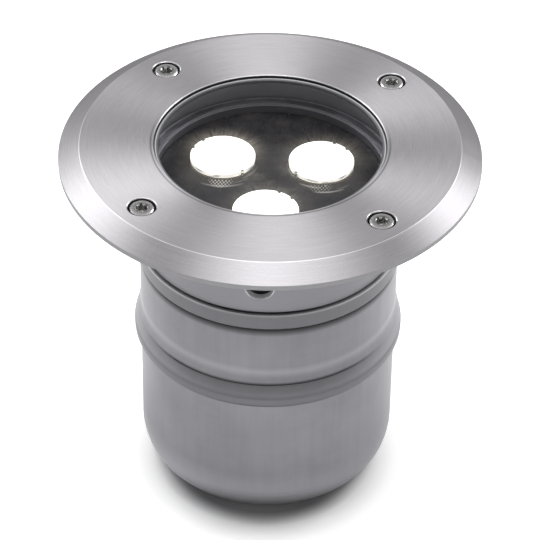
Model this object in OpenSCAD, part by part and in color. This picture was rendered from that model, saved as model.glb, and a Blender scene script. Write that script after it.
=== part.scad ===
// Ground light: a steel can, a sealed lamp housing that hangs in it, and a trim ring held down by screws.
// The base stands at z = 0 on the axis. The inner pieces stack up from the cable space at the bottom, and
// the widths follow the can from the inside out, so the height and the trim ring's width come out at the end.

/* [Overall] */
// Height of the cable space, from the base to the lamp housing
cable_room_h = 36; // [30:1:60]
// Outer diameter of the can
can_d = 75; // [74:0.5:77]

/* [Trim ring] */
// How far the trim ring reaches past the flange
ring_lap = 8; // [6:0.5:14]
// Thickness of the trim ring
ring_t = 5.2; // [4.8:0.1:6]
// Height of the upright outer edge
edge_h = 1.75; // [1:0.05:2.5]
// Width of the bevel
bevel_w = 6; // [3:0.5:6.5]
// How far the opening's edge lies inside the can's outer face
opening_inset = 4.5; // [4:0.1:7.5]
// Thickness of the lip over the glass
lip_t = 1.4; // [1:0.1:1.8]

/* [Trim screws] */
// Number of screws
screw_n = 4; // [3:1:8]
// Diameter of the screw's thread
screw_d = 4; // [3:0.5:4]
// Length of the screw below its head
screw_l = 10; // [9.6:0.2:12]
// Diameter of the screw's head
screw_head_d = 7; // [6:0.1:7.4]
// Height of the screw's head
screw_head_h = 2.8; // [2:0.1:2.9]
// Diameter of the counterbore
counterbore_d = 8; // [7.6:0.1:9]
// Depth of the counterbore
counterbore_depth = 3; // [2.9:0.1:3.2]

/* [Glass] */
// How far the lip covers the glass
lip_w = 3; // [2:0.1:3.3]
// Thickness of the glass
glass_t = 8; // [6:0.5:10]

/* [Can] */
// Depth of the line under the neck below the top
neck_depth = 31.7; // [30:0.1:34]
// Height of the band below the neck
band_h = 5.9; // [4:0.1:7]
// How far the band stands out from the sleeve
band_proud = 0.6; // [0.2:0.05:0.8]
// Height of the sleeve
sleeve_h = 20.3; // [16:0.1:23]
// Height of the flare at the sleeve's lower end
flare_h = 4.6; // [3:0.1:7]
// Width of the flare
flare_w = 0.8; // [0.5:0.1:1.2]
// Height of the rounded bead
bead_h = 8.1; // [7:0.1:10]
// How far the bead stands out from the can
bead_proud = 1.9; // [1.4:0.1:2.5]
// Width of the rounded edge of the base
base_r = 7; // [5:0.5:10]
// Height of the rounded edge of the base
base_h = 11; // [8:0.5:14]
// Distance from the screws' circle to the edge of the flange that they pull against
flange_edge_w = 5.5; // [4.5:0.1:7]

/* [Drain holes] */
// Number of drain holes in the neck
drain_n = 4; // [2:1:6]
// Diameter of a drain hole
drain_d = 8; // [5:0.5:9]

/* [Optics] */
// Gap between two lenses
lens_between = 9.7; // [8:0.1:12]
// Gap between a lens and the wall round the lenses
lens_side_gap = 7.15; // [6.5:0.05:9]
// How far the lenses stand out of the plate
lens_proud = 1.6; // [0.5:0.1:2]
// Depth of the plate below the seat of the glass
plate_drop = 2.3; // [2.2:0.1:4]

/* [Cable] */
// Diameter of the grommet's bore
cable_bore_d = 8.5; // [6:0.5:9]
// Height of the grommet above the base
cable_z = 18; // [17:0.5:22]

/* [Hidden] */
$fn = 96;

// How far a cutting solid runs past what it cuts
overrun = 1;

// Can
can_r = can_d/2;
sleeve_t = 1.1;
spigot_gap = 0.05;
spigot_t = 1.25;
neck_inset = 0.2;
neck_edge = 0.3;
neck_spigot_l = 10;
cup_spigot_l = 16;
sleeve_bore_r = can_r-sleeve_t;
spigot_r = sleeve_bore_r-spigot_gap;
can_bore_r = spigot_r-spigot_t;
neck_r = can_r-neck_inset;
cup_floor_t = 2.5;
cup_wall_t = can_r-can_bore_r;
sleeve_edge_w = 0.6;
sleeve_edge_h = 1.6;
drain_edge = 0.3;
band_edge_r = 1.1;
bead_low_h = 2;
bead_land = 1.4;
bead_bow = 1.3;
bead_groove_h = 0.9;
bead_collar_w = 0.1;
bead_foot_w = 0.1;
flange_t = 2.5;
dish_t = 1.4;
dish_edge_r = 1.2;
dish_gap = 0.3;

// Glass, its seals and the pocket that holds them
glass_edge = 0.5;
glass_gap = 0.3;
seal_t = 0.7;
seal_lip_w = 1.05;
seal_lip_h = 0.5;
seal_gap = 0.15;
gasket_t = 0.8;
gasket_gap = 0.3;
opening_r = can_r-opening_inset;
glass_r = opening_r+lip_w;
pocket_r = glass_r+glass_gap;

// Lamp housing
housing_gap = 0.5;
housing_wall_t = 1.7;
housing_floor_t = 3;
housing_edge = 2;
rim_w = 4.5;
rim_floor_t = 1.6;
groove_w = 2;
groove_depth = 1.8;
o_ring_d = 1.7;
sink_shelf_w = 1.9;
housing_r = can_bore_r-housing_gap;
housing_bore_r = housing_r-housing_wall_t;
cavity_r = housing_bore_r-sink_shelf_w;
rim_r = pocket_r+rim_w;
o_ring_r = (pocket_r+rim_r)/2;
dish_r = rim_r+dish_gap;
dish_out_r = dish_r+dish_t;
housing_z = cable_room_h;
housing_floor_z = housing_z+housing_floor_t;

// Trim screws and the nuts under the flange
screw_r = screw_d/2;
screw_first_angle = 45;
screw_hole_gap = 0.25;
screw_head_edge = 0.45;
screw_tip = 0.5;
socket_depth = 1.5;
socket_r = 1.55;
socket_lobe_r = 0.42;
socket_lobes = 6;
socket_edge = 0.3;
nut_across = 7;
nut_h = 4;
nut_gap = 0.05;
nut_side_gap = 0.5;
screw_circle_r = dish_out_r+nut_side_gap+nut_across/2;
flange_r = screw_circle_r+flange_edge_w;

// Trim ring, let down over the flange
ring_edge = 0.3;
counterbore_edge = 0.2;
opening_edge = 0.2;
ring_recess_t = 0.4;
ring_recess_gap = 0.3;
ring_r = flange_r+ring_lap;

// Cable gland in the floor of the lamp housing
gland_r = 6;
gland_hole_gap = 0.1;
gland_across = 15;
gland_hex_h = 4;
gland_barrel_h = 8;
gland_thread_h = 7;
gland_top_bore_r = 4.3;
gland_seal_t = 1;
gland_seal_gap = 0.05;
gland_barrel_t = 1.2;
gland_nut_across = 16;
gland_nut_h = 11;
gland_nut_gap = 0.05;
gland_nut_top_gap = 1;
gland_nut_floor_t = 2;
gland_nut_eye_r = 4.4;
gland_nut_edge = 1.2;
locknut_across = 15;
locknut_h = 3;
locknut_gap = 2.5;
gland_y = cavity_r-locknut_gap-locknut_across/2;
gland_hex_z = housing_z-gland_hex_h;
gland_nut_z = gland_hex_z-gland_nut_top_gap-gland_nut_h;
gland_nut_floor_z = gland_nut_z+gland_nut_floor_t;
gland_barrel_bore_r = gland_r-gland_barrel_t;

// Driver and its bracket
driver_h = 22;
driver_front_gap = 11;
driver_gland_gap = 15;
driver_side_gap = 0.3;
driver_corner_r = 3;
driver_lid_t = 1.2;
driver_lid_inset = 1;
bracket_t = 1.5;
bracket_d = 12;
bracket_gap = 2.6;
bracket_ear_w = 24;
bracket_ear_h = 8;
bracket_screw_edge = 2.7;
bracket_screw_r = 1.5;
bracket_screw_head_r = 2.5;
bracket_screw_head_h = 1.8;
bracket_screw_l = 3.5;
bracket_screw_gap = 0.1;
driver_front_y = driver_front_gap-cavity_r;
driver_back_y = gland_y-driver_gland_gap;
driver_d = driver_back_y-driver_front_y;
driver_y = (driver_back_y+driver_front_y)/2;
bracket_half_w = sqrt(pow(cavity_r, 2)-pow(bracket_d/2-driver_y, 2))-bracket_gap;
bracket_screw_x = bracket_half_w-bracket_screw_edge;
driver_w = 2*(bracket_screw_x-bracket_screw_head_r-driver_side_gap);
bracket_top_z = housing_floor_z+bracket_t;
driver_top_z = bracket_top_z+driver_h;

// Terminal block and the lamp wires, which rise through the heat sink and bend down to the board
wire_r = 0.6;
wire_bend_r = 3;
wire_top_bend_r = 2;
wire_top_run = 4;
wire_top_h = 3;
wire_hole_r = 4;
terminal_w = 20;
terminal_d = 10;
terminal_h = 8.5;
terminal_pitch = 5;
terminal_n = 4;
terminal_screw_r = 1.5;
terminal_screw_depth = 2;
terminal_entry_r = 0.9;
terminal_entry_depth = 4;
terminal_entry_h = 3.5;
terminal_back_y = -wire_bend_r;
terminal_y = terminal_back_y-terminal_d/2;
terminal_top_z = driver_top_z+terminal_h;
wire_x = terminal_pitch/2;
wire_entry_z = driver_top_z+terminal_entry_h;

// Heat sink
sink_t = 5.9;
sink_gap = 0.3;
sink_over_gap = 1;
fin_h = 6;
fin_t = 1.6;
fin_pitch = 4.8;
fin_side_gap = 0.6;
fin_wire_gap = 1;
fin_n = floor((cavity_r-fin_side_gap)/fin_pitch);
sink_z = terminal_top_z+sink_over_gap+fin_h;

// Emitters and their board
board_t = 1.6;
board_gap = 1.4;
emitter_w = 5;
emitter_h = 0.9;
emitter_dome_r = 1.5;
pad_t = 0.5;
pad_inset = 0.5;
standoff_r = 2.5;
standoff_side_gap = 10.4;
board_screw_r = 1.5;
board_screw_l = 6;
board_screw_head_r = 2.7;
board_screw_head_h = 2;
board_screw_gap = 0.1;
board_screw_edge = 4.5;
between_angles = [90, 210, 330];
pad_z = sink_z+sink_t;
board_z = pad_z+pad_t;
board_top_z = board_z+board_t;
board_r = housing_bore_r-board_gap;
board_screw_circle_r = board_r-board_screw_edge;
standoff_circle_r = housing_bore_r-standoff_side_gap-standoff_r;

// Lenses, spread over the bore with the same gap between them and beside them
lens_disc_h = 4;
lens_gap = 0.1;
lens_seat_w = 0.35;
lens_h = 9.8;
lens_foot_r = 4.6;
lens_cone_gap = 0.3;
lens_pocket_r = 2.6;
lens_pocket_depth = 3;
lens_notch_w = 1.1;
lens_notch_depth = 0.55;
lens_notch_angles = [-14, 14, 166];
lens_notch_turns = [56, 56, 146];
lens_angles = [-90, 30, 150];
lens_reach = housing_bore_r-lens_side_gap;
lens_circle_r = (2*lens_reach+lens_between)/(2+sqrt(3));
lens_r = lens_reach-lens_circle_r;
plate_t = 1.5;
plate_gap = 0.3;
plate_hole_gap = 0.3;
holder_t = 0.95;
holder_h = 9.3;
holder_floor_t = 1;
holder_eye_r = 4;
holder_r = lens_r+lens_gap+holder_t;
plate_z = board_top_z+holder_h;
plate_top_z = plate_z+plate_t;
lens_top_z = plate_top_z+lens_proud;
lens_seat_z = lens_top_z-lens_disc_h;

// Levels from the seat of the glass up to the top of the trim ring
seat_z = plate_top_z+plate_drop;
glass_z = seat_z+gasket_t;
glass_top_z = glass_z+glass_t;
lip_z = glass_top_z+seal_t;
top_z = lip_z+lip_t;
ring_z = top_z-ring_t;
joint_z = ring_z+ring_recess_t;
head_z = top_z-counterbore_depth;
rim_z = seat_z-rim_floor_t;
dish_z = rim_z-dish_t;

// Levels of the can, down from the top
band_top_z = top_z-neck_depth;
band_z = band_top_z-band_h;
sleeve_z = band_z-sleeve_h;
bead_z = sleeve_z-bead_h;
drain_z = (band_top_z+dish_z)/2;
drain_r = drain_d/2;

// Cable grommet, which sits on a flat land on the back of the cup
grommet_core_r = 6.5;
grommet_flange_r = 8.5;
grommet_inner_t = 1.8;
grommet_outer_t = 0.8;
grommet_gap = 0.05;
grommet_land_gap = 0.3;
cable_bore_r = cable_bore_d/2;
grommet_land_r = grommet_flange_r+grommet_land_gap;
grommet_land_y = sqrt(pow(can_r, 2)-pow(grommet_land_r, 2));
grommet_y = can_bore_r-grommet_inner_t;
grommet_l = grommet_land_y+grommet_outer_t-grommet_y;

// Points along an arc round centre c, from angle a0 to angle a1
function arc(c, r, a0, a1, steps = 8) =
    [for (i = [0:steps]) let (a = a0+(a1-a0)*i/steps) c+r*[cos(a), sin(a)]];

// Copies round the axis at the angles given, at radius r
module around(r, angles) {
    for (a = angles)
        rotate([0, 0, a])
            translate([r, 0, 0])
                children();
}

// A flat ring between two radii and two levels
module flat_ring(r_in, r_out, z0, z1) {
    rotate_extrude()
        translate([r_in, z0])
            square([r_out-r_in, z1-z0]);
}

// A hexagonal prism with the given width across its flats
module hexagon(across, h) {
    cylinder(r = across/2/cos(30), h = h, $fn = 6);
}

// Angles of the screws
function screw_angles() = [for (i = [0:screw_n-1]) screw_first_angle+360*i/screw_n];

// Cup with a rounded base edge, and the spigot that the bead and the sleeve slide over
module can_cup() {
    inner_r = max(base_r-cup_wall_t, 0.1*base_r);
    edge = [for (i = [0:10]) let (a = 90*i/10) [can_r-base_r*(1-sin(a)), base_h*(1-cos(a))]];
    outer = concat([[0, 0]], edge, [[can_r, bead_z], [spigot_r, bead_z],
        [spigot_r, bead_z+cup_spigot_l], [can_bore_r, bead_z+cup_spigot_l]]);
    inner = concat(arc([can_bore_r-inner_r, cup_floor_t+inner_r], inner_r, 0, -90), [[0, cup_floor_t]]);
    color("#9a989c")
        difference() {
            rotate_extrude()
                polygon(concat(outer, inner));
            translate([0, 0, cable_z])
                rotate([-90, 0, 0])
                    cylinder(r = grommet_core_r, h = can_r+overrun);
            translate([0, grommet_land_y, cable_z])
                rotate([-90, 0, 0])
                    cylinder(r = grommet_land_r, h = can_r);
        }
}

// Rounded ring between the cup and the sleeve, with a groove under the flare
module joint_bead() {
    foot_r = can_r+bead_foot_w;
    bead_r = can_r+bead_proud;
    collar_r = sleeve_bore_r+sleeve_t+bead_collar_w;
    groove_z = sleeve_z-bead_groove_h;
    land_z = bead_z+bead_low_h;
    crown_z = land_z+bead_land;
    side = [for (i = [0:6]) let (a = 90*i/6) [foot_r+(bead_r-foot_r)*sin(a), land_z-bead_low_h*cos(a)]];
    crown = [for (i = [0:8]) let (s = i/8)
        [bead_r-(bead_r-collar_r)*pow(s, bead_bow), crown_z+(groove_z-crown_z)*s]];
    color("#a3a1a6")
        rotate_extrude()
            polygon(concat([[sleeve_bore_r, bead_z]], side, crown,
                [[collar_r, sleeve_z], [sleeve_bore_r, sleeve_z]]));
}

// Plain band whose upper edge is rolled in, and whose lower end flares out in a smooth curve
module can_sleeve() {
    roll = [for (i = [0:6]) let (a = 90*i/6)
        [can_r-sleeve_edge_w*(1-sin(a)), band_z-sleeve_edge_h*(1-cos(a))]];
    flare = [for (i = [0:8]) let (s = i/8) [flare_w*(1-cos(90*s)), -flare_h*s]];
    top_z = sleeve_z+flare_h;
    outer = [for (p = flare) [can_r+p[0], top_z+p[1]]];
    inner = [for (i = [8:-1:0]) [sleeve_bore_r+flare[i][0], top_z+flare[i][1]]];
    color("#9f9da2")
        rotate_extrude()
            polygon(concat([[sleeve_bore_r, band_z]], roll, outer, inner));
}

// Low ring between the neck and the sleeve, rounded below
module neck_band() {
    band_r = can_r+band_proud;
    color("#8f8d92")
        rotate_extrude()
            polygon(concat([[sleeve_bore_r, band_z]],
                arc([band_r-band_edge_r, band_z+band_edge_r], band_edge_r, -90, 0, 6),
                [[band_r, band_top_z-neck_edge], [band_r-neck_edge, band_top_z],
                [sleeve_bore_r, band_top_z]]));
}

// Neck tube with its spigot and the drain holes, whose rims are chamfered
module can_neck() {
    color("#949296")
        difference() {
            rotate_extrude()
                polygon([[can_bore_r, band_top_z-neck_spigot_l], [spigot_r, band_top_z-neck_spigot_l],
                    [spigot_r, band_top_z], [neck_r-neck_edge, band_top_z], [neck_r, band_top_z+neck_edge],
                    [neck_r, dish_z], [can_bore_r, dish_z]]);
            for (i = [0:drain_n-1])
                rotate([0, 0, 360*i/drain_n-90])
                    translate([0, 0, drain_z])
                        rotate([0, 90, 0]) {
                            translate([0, 0, can_bore_r-overrun])
                                cylinder(r = drain_r, h = neck_r-can_bore_r+2*overrun);
                            translate([0, 0, neck_r-drain_edge])
                                cylinder(r1 = drain_r, r2 = drain_r+drain_edge+overrun,
                                    h = drain_edge+overrun);
                        }
        }
}

// Dish on the neck, which the lamp housing hangs in, and the flange round it under the trim ring
module can_flange() {
    color("#949296")
        difference() {
            rotate_extrude()
                polygon(concat([[can_bore_r, dish_z]],
                    arc([dish_out_r-dish_edge_r, dish_z+dish_edge_r], dish_edge_r, -90, 0, 5),
                    [[dish_out_r, joint_z-flange_t], [flange_r, joint_z-flange_t], [flange_r, joint_z],
                    [dish_r, joint_z], [dish_r, rim_z], [can_bore_r, rim_z]]));
            around(screw_circle_r, screw_angles())
                translate([0, 0, joint_z-flange_t-overrun])
                    cylinder(r = screw_r+screw_hole_gap, h = flange_t+2*overrun);
        }
}

// Nuts welded under the flange
module flange_nuts() {
    color("#b8b6b2")
        around(screw_circle_r, screw_angles())
            translate([0, 0, joint_z-flange_t-nut_h])
                difference() {
                    hexagon(nut_across, nut_h);
                    translate([0, 0, -overrun])
                        cylinder(r = screw_r+nut_gap, h = nut_h+2*overrun);
                }
}

// Grommet that grips the back wall of the cup from both sides
module cable_grommet() {
    color("#26262a")
        translate([0, 0, cable_z])
            difference() {
                union() {
                    difference() {
                        translate([0, grommet_y, 0])
                            rotate([-90, 0, 0])
                                cylinder(r = grommet_flange_r, h = can_bore_r-grommet_y);
                        flat_ring(can_bore_r-grommet_gap, can_r, -2*grommet_flange_r,
                            2*grommet_flange_r);
                    }
                    translate([0, grommet_y, 0])
                        rotate([-90, 0, 0])
                            cylinder(r = grommet_core_r-grommet_gap, h = grommet_l);
                    translate([0, grommet_land_y, 0])
                        rotate([-90, 0, 0])
                            cylinder(r = grommet_flange_r, h = grommet_outer_t);
                }
                translate([0, grommet_y-overrun, 0])
                    rotate([-90, 0, 0])
                        cylinder(r = cable_bore_r, h = grommet_l+2*overrun);
            }
}

// Closed pot that holds the optics, the heat sink and the driver, with a seat for the glass in its rim
module lamp_housing() {
    color("#2b2b2f")
        difference() {
            rotate_extrude()
                polygon([[0, housing_z], [housing_r-housing_edge, housing_z],
                    [housing_r, housing_z+housing_edge],
                    [housing_r, rim_z], [rim_r, rim_z], [rim_r, joint_z], [o_ring_r+groove_w/2, joint_z],
                    [o_ring_r+groove_w/2, joint_z-groove_depth],
                    [o_ring_r-groove_w/2, joint_z-groove_depth],
                    [o_ring_r-groove_w/2, joint_z], [pocket_r, joint_z], [pocket_r, seat_z],
                    [housing_bore_r, seat_z], [housing_bore_r, sink_z], [cavity_r, sink_z],
                    [cavity_r, housing_floor_z], [0, housing_floor_z]]);
            translate([0, gland_y, housing_z-overrun])
                cylinder(r = gland_r+gland_hole_gap, h = housing_floor_t+2*overrun);
            for (side = [-1, 1])
                translate([side*bracket_screw_x, driver_y, bracket_top_z-bracket_screw_l])
                    cylinder(r = bracket_screw_r+bracket_screw_gap, h = bracket_screw_l+overrun);
        }
}

// Ring of round section between the lamp housing and the trim ring
module cover_o_ring() {
    color("#1c1c1e")
        rotate_extrude()
            translate([o_ring_r, joint_z-groove_depth+o_ring_d/2])
                circle(d = o_ring_d);
}

// Flat ring under the glass
module glass_gasket() {
    color("#8c8c90")
        flat_ring(housing_bore_r+gasket_gap, glass_r, seat_z, glass_z);
}

// Plate with cooling fins below, which rests on the shelf in the lamp housing
module heat_sink() {
    plate_r = housing_bore_r-sink_gap;
    fin_r = cavity_r-fin_side_gap;
    color("#a9abb0")
        difference() {
            union() {
                translate([0, 0, sink_z])
                    cylinder(r = plate_r, h = sink_t);
                intersection() {
                    translate([0, 0, sink_z-fin_h])
                        cylinder(r = fin_r, h = fin_h+sink_t/2);
                    for (i = [-fin_n:fin_n])
                        translate([i*fin_pitch-fin_t/2, -fin_r, sink_z-fin_h])
                            cube([fin_t, 2*fin_r, fin_h+sink_t/2]);
                }
            }
            translate([0, 0, sink_z-overrun])
                cylinder(r = wire_hole_r, h = sink_t+2*overrun);
            translate([0, 0, sink_z-fin_h-overrun])
                cylinder(r = wire_hole_r+fin_wire_gap, h = fin_h+overrun);
            around(board_screw_circle_r, between_angles)
                translate([0, 0, board_top_z-board_screw_l])
                    cylinder(r = board_screw_r+board_screw_gap, h = board_screw_l);
        }
}

// Soft pad between the board and the heat sink
module thermal_pad() {
    color("#c9c4b6")
        difference() {
            flat_ring(wire_hole_r, board_r-pad_inset, pad_z, board_z);
            around(board_screw_circle_r, between_angles)
                translate([0, 0, pad_z-overrun])
                    cylinder(r = board_screw_r+board_screw_gap, h = pad_t+2*overrun);
        }
}

// Metal board that carries the emitters
module emitter_board() {
    color("#e6e6e2")
        difference() {
            flat_ring(wire_hole_r, board_r, board_z, board_top_z);
            around(board_screw_circle_r, between_angles)
                translate([0, 0, board_z-overrun])
                    cylinder(r = board_screw_r+board_screw_gap, h = board_t+2*overrun);
        }
}

// Screws that pull the board onto the heat sink
module board_screws() {
    color("#c4c4c8")
        around(board_screw_circle_r, between_angles) {
            translate([0, 0, board_top_z])
                cylinder(r = board_screw_head_r, h = board_screw_head_h);
            translate([0, 0, board_top_z-board_screw_l])
                cylinder(r = board_screw_r, h = board_screw_l);
        }
}

// One light emitter: a square base with a clear dome
module emitter(angle) {
    color("#f3e9b4")
        around(lens_circle_r, [angle])
            translate([0, 0, board_top_z]) {
                translate([-emitter_w/2, -emitter_w/2, 0])
                    cube([emitter_w, emitter_w, emitter_h]);
                intersection() {
                    translate([0, 0, emitter_h])
                        sphere(r = emitter_dome_r);
                    cylinder(r = 2*emitter_dome_r, h = 2*emitter_dome_r+emitter_h);
                }
            }
}
module front_emitter() { emitter(lens_angles[0]); }
module right_emitter() { emitter(lens_angles[1]); }
module left_emitter() { emitter(lens_angles[2]); }

// One lens holder: a cup with an eye for the emitter and a seat for the lens
module lens_holder(angle) {
    seat_r = lens_r-lens_seat_w;
    color("#1f1f22")
        around(lens_circle_r, [angle])
            rotate_extrude()
                polygon([[holder_eye_r, board_top_z], [holder_r, board_top_z], [holder_r, plate_z],
                    [lens_r+lens_gap, plate_z], [lens_r+lens_gap, lens_seat_z], [seat_r, lens_seat_z],
                    [seat_r, board_top_z+holder_floor_t], [holder_eye_r, board_top_z+holder_floor_t]]);
}
module front_lens_holder() { lens_holder(lens_angles[0]); }
module right_lens_holder() { lens_holder(lens_angles[1]); }
module left_lens_holder() { lens_holder(lens_angles[2]); }

// One lens: a disc on a cone, hollow over the emitter, with small notches in its rim
module lens(angle, turn) {
    cone_r = lens_r-lens_seat_w-lens_cone_gap;
    foot_z = lens_top_z-lens_h;
    color("#fdfdfa")
        rotate([0, 0, angle])
            translate([lens_circle_r, 0, 0])
                rotate([0, 0, turn-angle])
                    difference() {
                        rotate_extrude()
                            polygon([[0, foot_z+lens_pocket_depth], [lens_pocket_r, foot_z+lens_pocket_depth],
                                [lens_pocket_r, foot_z], [lens_foot_r, foot_z], [cone_r, lens_seat_z],
                                [lens_r, lens_seat_z], [lens_r, lens_top_z], [0, lens_top_z]]);
                        for (a = lens_notch_angles)
                            rotate([0, 0, a])
                                translate([lens_r-lens_notch_depth, -lens_notch_w/2, plate_top_z])
                                    cube([lens_notch_depth+overrun, lens_notch_w, lens_proud+overrun]);
                    }
}
module front_lens() { lens(lens_angles[0], lens_notch_turns[0]); }
module right_lens() { lens(lens_angles[1], lens_notch_turns[1]); }
module left_lens() { lens(lens_angles[2], lens_notch_turns[2]); }

// Pillars between the board and the optic plate
module plate_standoffs() {
    color("#b9b9bd")
        around(standoff_circle_r, between_angles)
            translate([0, 0, board_top_z])
                cylinder(r = standoff_r, h = plate_z-board_top_z);
}

// Dark plate round the lenses
module optic_plate() {
    color("#18181b")
        difference() {
            translate([0, 0, plate_z])
                cylinder(r = housing_bore_r-plate_gap, h = plate_t);
            around(lens_circle_r, lens_angles)
                translate([0, 0, plate_z-overrun])
                    cylinder(r = lens_r+plate_hole_gap, h = plate_t+2*overrun);
        }
}

// Sheet bracket on the floor of the lamp housing, with two ears that hold the driver
module driver_bracket() {
    ear_y = driver_d/2;
    color("#b4b4b8")
        translate([0, driver_y, housing_floor_z])
            difference() {
                union() {
                    translate([-bracket_half_w, -bracket_d/2, 0])
                        cube([2*bracket_half_w, bracket_d, bracket_t]);
                    translate([-bracket_ear_w/2, -ear_y-bracket_t, 0])
                        cube([bracket_ear_w, 2*(ear_y+bracket_t), bracket_t]);
                    for (side = [-1, 1])
                        translate([-bracket_ear_w/2, side*(ear_y+bracket_t/2)-bracket_t/2, 0])
                            cube([bracket_ear_w, bracket_t, bracket_t+bracket_ear_h]);
                }
                for (side = [-1, 1])
                    translate([side*bracket_screw_x, 0, -overrun])
                        cylinder(r = bracket_screw_r+bracket_screw_gap, h = bracket_t+2*overrun);
            }
}

// Screws that hold the bracket
module bracket_screws() {
    color("#c4c4c8")
        for (side = [-1, 1])
            translate([side*bracket_screw_x, driver_y, bracket_top_z]) {
                cylinder(r = bracket_screw_head_r, h = bracket_screw_head_h);
                translate([0, 0, -bracket_screw_l])
                    cylinder(r = bracket_screw_r, h = bracket_screw_l);
            }
}

// Box with upright edges of radius r, centred on the axis
module rounded_box(w, d, r, z0, z1) {
    translate([0, 0, z0])
        linear_extrude(z1-z0)
            union() {
                square([w-2*r, d], center = true);
                square([w, d-2*r], center = true);
                for (x = [-1, 1], y = [-1, 1])
                    translate([x*(w/2-r), y*(d/2-r)])
                        circle(r);
            }
}

// Driver case with a raised lid
module driver_case() {
    color("#ece9e2")
        translate([0, driver_y, 0])
            union() {
                rounded_box(driver_w, driver_d, driver_corner_r, bracket_top_z, driver_top_z-driver_lid_t);
                rounded_box(driver_w-2*driver_lid_inset, driver_d-2*driver_lid_inset,
                    driver_corner_r-driver_lid_inset, driver_top_z-driver_lid_t, driver_top_z);
            }
}

// Terminal block on the driver, with a clamp screw and a wire entry for each pole
module terminal_block() {
    color("#d8d5cc")
        difference() {
            translate([-terminal_w/2, terminal_y-terminal_d/2, driver_top_z])
                cube([terminal_w, terminal_d, terminal_h]);
            for (i = [0:terminal_n-1])
                translate([(i-(terminal_n-1)/2)*terminal_pitch, 0, 0]) {
                    translate([0, terminal_y, driver_top_z+terminal_h-terminal_screw_depth])
                        cylinder(r = terminal_screw_r, h = terminal_screw_depth+overrun);
                    translate([0, terminal_back_y-terminal_entry_depth, wire_entry_z])
                        rotate([-90, 0, 0])
                            cylinder(r = terminal_entry_r, h = terminal_entry_depth+overrun);
                }
        }
}

// Quarter of a round bend, from the x axis to the y axis
module quarter_bend(bend_r) {
    rotate_extrude(angle = 90)
        translate([bend_r, 0])
            circle(wire_r, $fn = 24);
}

// One lamp wire from the terminal block to the board
module lamp_wire(x) {
    rise_z = wire_entry_z+wire_bend_r;
    run_z = board_top_z+wire_top_h-wire_top_bend_r;
    rise_y = terminal_back_y+wire_bend_r;
    fall_y = rise_y+2*wire_top_bend_r+wire_top_run;
    translate([x, 0, 0])
        union() {
            translate([0, terminal_back_y-terminal_entry_depth/2, wire_entry_z])
                rotate([-90, 0, 0])
                    cylinder(r = wire_r, h = terminal_entry_depth/2);
            translate([0, terminal_back_y, rise_z])
                rotate([0, 90, 0])
                    quarter_bend(wire_bend_r);
            translate([0, rise_y, rise_z])
                cylinder(r = wire_r, h = run_z-rise_z);
            translate([0, rise_y+wire_top_bend_r, run_z])
                rotate([0, 90, 180])
                    rotate([0, 0, 90])
                        quarter_bend(wire_top_bend_r);
            translate([0, rise_y+wire_top_bend_r, run_z+wire_top_bend_r])
                rotate([-90, 0, 0])
                    cylinder(r = wire_r, h = wire_top_run);
            translate([0, fall_y-wire_top_bend_r, run_z])
                rotate([0, -90, 0])
                    quarter_bend(wire_top_bend_r);
            translate([0, fall_y, board_top_z])
                cylinder(r = wire_r, h = run_z-board_top_z);
        }
}
module positive_wire() { color("#a8322c") lamp_wire(wire_x); }
module negative_wire() { color("#222226") lamp_wire(-wire_x); }

// Gland body: thread through the floor, hexagon below it and a barrel for the nut
module gland_body() {
    color("#c9ccd0")
        translate([0, gland_y, 0])
            difference() {
                union() {
                    translate([0, 0, housing_z])
                        cylinder(r = gland_r, h = gland_thread_h);
                    translate([0, 0, gland_hex_z])
                        hexagon(gland_across, gland_hex_h);
                    translate([0, 0, gland_hex_z-gland_barrel_h])
                        cylinder(r = gland_r, h = gland_barrel_h);
                }
                translate([0, 0, gland_hex_z-overrun])
                    cylinder(r = gland_top_bore_r, h = gland_hex_h+gland_thread_h+2*overrun);
                translate([0, 0, gland_hex_z-gland_barrel_h-overrun])
                    cylinder(r = gland_barrel_bore_r, h = gland_barrel_h+overrun);
            }
}

// Nut on the gland's thread inside the lamp housing
module gland_locknut() {
    color("#c9ccd0")
        translate([0, gland_y, housing_floor_z])
            difference() {
                hexagon(locknut_across, locknut_h);
                translate([0, 0, -overrun])
                    cylinder(r = gland_r+gland_hole_gap, h = locknut_h+2*overrun);
            }
}

// Rubber sleeve that the gland's nut presses onto the cable
module gland_seal() {
    seal_r = gland_barrel_bore_r-gland_seal_gap;
    color("#2a2a2c")
        translate([0, gland_y, 0])
            flat_ring(seal_r-gland_seal_t, seal_r, gland_nut_floor_z, gland_hex_z);
}

// Domed nut of the gland
module gland_nut() {
    color("#c9ccd0")
        translate([0, gland_y, 0])
            difference() {
                intersection() {
                    translate([0, 0, gland_nut_z])
                        hexagon(gland_nut_across, gland_nut_h);
                    translate([0, 0, gland_nut_z])
                        rotate_extrude()
                            polygon([[0, 0], [gland_nut_across/2-gland_nut_edge, 0],
                                [gland_nut_across/2+gland_nut_edge, 2*gland_nut_edge],
                                [gland_nut_across/2+gland_nut_edge, gland_nut_h], [0, gland_nut_h]]);
                }
                translate([0, 0, gland_nut_z-overrun])
                    cylinder(r = gland_nut_eye_r, h = gland_nut_floor_t+2*overrun);
                translate([0, 0, gland_nut_floor_z])
                    cylinder(r = gland_r+gland_nut_gap, h = gland_nut_h);
            }
}

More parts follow.
